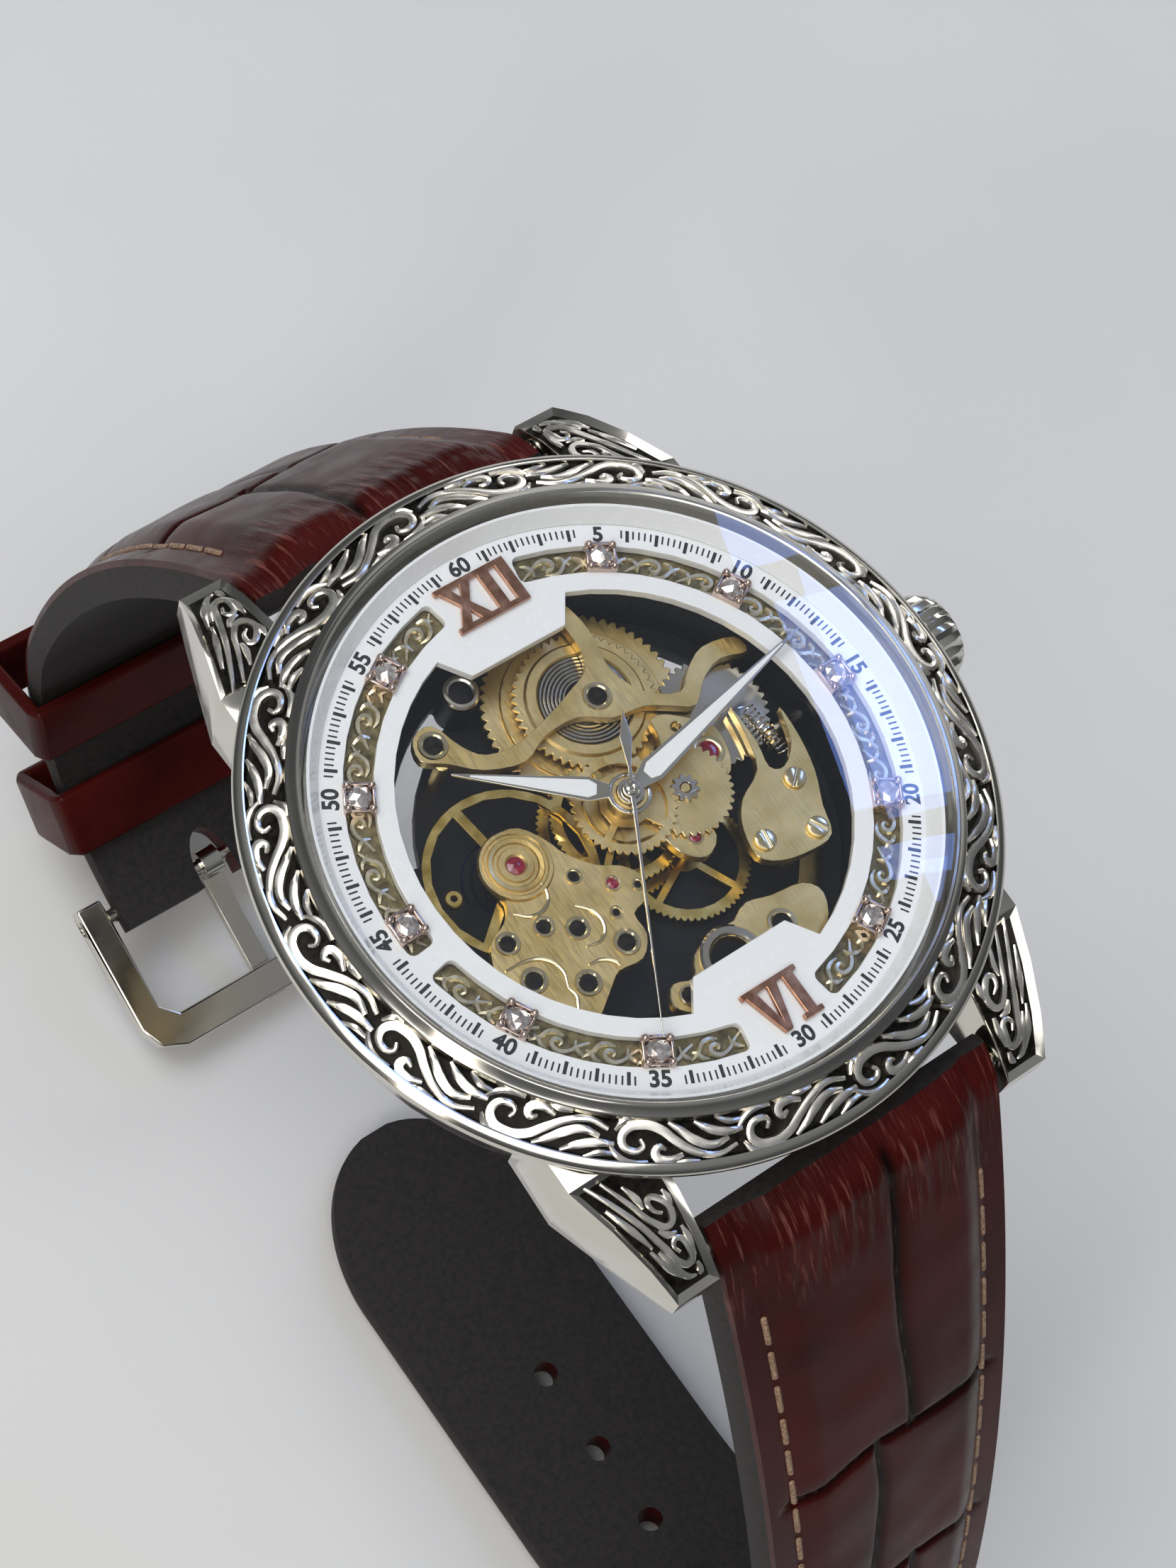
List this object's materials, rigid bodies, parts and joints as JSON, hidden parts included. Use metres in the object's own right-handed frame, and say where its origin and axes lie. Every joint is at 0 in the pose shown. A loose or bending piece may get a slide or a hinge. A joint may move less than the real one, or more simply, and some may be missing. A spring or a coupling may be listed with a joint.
{
  "type": "wristwatch",
  "caption": "Self-winding skeleton wristwatch with a carved round case, open-worked dial, square stone indices and a padded leather strap with a pin buckle.",
  "frame": {"origin": "centre of the case back's flat outer face", "axes": "+Z the way the dial faces, +Y towards twelve o'clock, +X towards the crown at three o'clock"},
  "size_m": [0.0447, 0.0929, 0.0768],
  "materials": {
    "polished_steel": "polished",
    "champagne_brass": "satin",
    "gilt_brass": "polished",
    "rose_gold": "polished",
    "olive_brass": "engraved",
    "black_plate": "satin",
    "white_enamel": "satin",
    "crystal_glass": "clear",
    "white_stone": "faceted",
    "blued_steel": "blued",
    "burgundy_leather": "glossy grain"
  },
  "bodies": {
    "case": {"mid_case": "polished_steel", "bezel": "polished_steel", "crystal": "crystal_glass", "rehaut": "white_enamel", "dial_ring": "white_enamel", "engraved_plate": "olive_brass", "stone_index_01": "white_stone", "stone_index_02": "white_stone", "stone_index_03": "white_stone", "stone_index_04": "white_stone", "stone_index_05": "white_stone", "stone_index_07": "white_stone", "stone_index_08": "white_stone", "stone_index_09": "white_stone", "stone_index_10": "white_stone", "stone_index_11": "white_stone", "numeral_xii": "rose_gold", "numeral_vi": "rose_gold", "main_plate": "black_plate", "barrel_bridge": "champagne_brass", "centre_bridge": "champagne_brass", "train_bridge": "champagne_brass", "keyless_plate": "champagne_brass", "lower_plate": "champagne_brass", "keyless_screw_1": "polished_steel", "keyless_screw_2": "polished_steel", "keyless_screw_3": "polished_steel", "movement_ring": "polished_steel", "case_back_ring": "polished_steel", "case_back_glass": "crystal_glass", "crown_tube": "polished_steel", "spring_bar_12": "polished_steel", "spring_bar_6": "polished_steel", "rotor_post": "polished_steel"},
    "stem": {"stem": "polished_steel"},
    "crown": {"crown": "polished_steel"},
    "seconds": {"fourth_wheel": "gilt_brass", "seconds_hand": "polished_steel"},
    "minute": {"centre_wheel": "gilt_brass", "cannon_pinion": "polished_steel", "minute_hand": "polished_steel"},
    "hour": {"hour_wheel": "gilt_brass", "hour_hand": "polished_steel"},
    "third_wheel": {"third_wheel": "gilt_brass"},
    "minute_wheel": {"minute_wheel": "gilt_brass"},
    "escape_wheel": {"escape_wheel": "polished_steel"},
    "pallet_fork": {"pallet_fork": "polished_steel"},
    "balance": {"balance_wheel": "gilt_brass", "hairspring": "blued_steel"},
    "barrel": {"mainspring_barrel": "champagne_brass"},
    "ratchet_wheel": {"ratchet_wheel": "polished_steel"},
    "crown_wheel": {"crown_wheel": "polished_steel"},
    "rotor": {"rotor": "champagne_brass"},
    "short_strap": {"strap_12": "burgundy_leather", "keeper_fixed": "burgundy_leather", "buckle_bar": "polished_steel"},
    "keeper_free": {"keeper_free": "burgundy_leather"},
    "buckle_frame": {"buckle_frame": "polished_steel"},
    "buckle_tongue": {"buckle_tongue": "polished_steel"},
    "long_strap": {"strap_6": "burgundy_leather"}
  },
  "joints": [
    {"name": "seconds_turn", "type": "hinge", "parent": "case", "child": "seconds", "pos_m": [0, 0, 0.006], "axis": [0, 0, 1], "continuous": true},
    {"name": "minute_turn", "type": "hinge", "parent": "case", "child": "minute", "pos_m": [0, 0, 0.006], "axis": [0, 0, 1], "continuous": true},
    {"name": "hour_turn", "type": "hinge", "parent": "case", "child": "hour", "pos_m": [0, 0, 0.006], "axis": [0, 0, 1], "continuous": true},
    {"name": "third_wheel_turn", "type": "hinge", "parent": "case", "child": "third_wheel", "pos_m": [0.0024, -0.00345, 0.006], "axis": [0, 0, 1], "continuous": true},
    {"name": "minute_wheel_turn", "type": "hinge", "parent": "case", "child": "minute_wheel", "pos_m": [0.00348, -0.00093, 0.006], "axis": [0, 0, 1], "continuous": true},
    {"name": "escape_wheel_turn", "type": "hinge", "parent": "case", "child": "escape_wheel", "pos_m": [-0.0031, -0.0033, 0.006], "axis": [0, 0, 1], "continuous": true},
    {"name": "barrel_turn", "type": "hinge", "parent": "case", "child": "barrel", "pos_m": [0.0024, 0.0065, 0.006], "axis": [0, 0, 1], "continuous": true},
    {"name": "pallet_rock", "type": "hinge", "parent": "case", "child": "pallet_fork", "pos_m": [-0.00466, -0.0019, 0.0046], "axis": [0, 0, 1], "range_deg": [-5, 5]},
    {"name": "balance_swing", "type": "hinge", "parent": "case", "child": "balance", "pos_m": [-0.007, 0.0002, 0.006], "axis": [0, 0, 1], "range_deg": [-270, 270], "deforming": ["hairspring"]},
    {"name": "rotor_turn", "type": "hinge", "parent": "case", "child": "rotor", "pos_m": [0, 0, 0.006], "axis": [0, 0, 1], "continuous": true},
    {"name": "crown_pull", "type": "slide", "parent": "case", "child": "stem", "axis": [1, 0, 0], "range_m": [0, 0.001]},
    {"name": "crown_turn", "type": "hinge", "parent": "stem", "child": "crown", "pos_m": [0, 0, 0.005], "axis": [1, 0, 0], "continuous": true},
    {"name": "ratchet_wheel_turn", "type": "hinge", "parent": "case", "child": "ratchet_wheel", "pos_m": [0.0024, 0.0065, 0.006], "axis": [0, 0, 1], "continuous": true},
    {"name": "crown_wheel_turn", "type": "hinge", "parent": "case", "child": "crown_wheel", "pos_m": [0.0082, 0.0023, 0.006], "axis": [0, 0, 1], "continuous": true},
    {"name": "short_strap_swing", "type": "hinge", "parent": "case", "child": "short_strap", "pos_m": [0, 0.0216, 0.004], "axis": [1, 0, 0], "range_deg": [0, 50]},
    {"name": "long_strap_swing", "type": "hinge", "parent": "case", "child": "long_strap", "pos_m": [0, -0.0216, 0.004], "axis": [-1, 0, 0], "range_deg": [0, 60]},
    {"name": "keeper_slip", "type": "hinge", "parent": "short_strap", "child": "keeper_free", "pos_m": [0, 0.02292, -0.04063], "axis": [-1, 0, 0], "range_deg": [-21, 9]},
    {"name": "buckle_swing", "type": "hinge", "parent": "short_strap", "child": "buckle_frame", "pos_m": [0, 0.02956, -0.05924], "axis": [1, 0, 0], "range_deg": [-60, 45]},
    {"name": "tongue_swing", "type": "hinge", "parent": "buckle_frame", "child": "buckle_tongue", "pos_m": [0, 0.02956, -0.05924], "axis": [1, 0, 0], "range_deg": [0, 50]}
  ],
  "couplings": [
    {"joint": "minute_turn", "follows": "seconds_turn", "ratio": 0.016667},
    {"joint": "hour_turn", "follows": "seconds_turn", "ratio": 0.0013889},
    {"joint": "third_wheel_turn", "follows": "seconds_turn", "ratio": -0.13333},
    {"joint": "minute_wheel_turn", "follows": "seconds_turn", "ratio": -0.0055556},
    {"joint": "escape_wheel_turn", "follows": "seconds_turn", "ratio": -10},
    {"joint": "barrel_turn", "follows": "seconds_turn", "ratio": -0.0038889},
    {"joint": "crown_wheel_turn", "follows": "crown_turn", "ratio": -0.31579},
    {"joint": "ratchet_wheel_turn", "follows": "crown_turn", "ratio": 0.25}
  ]
}
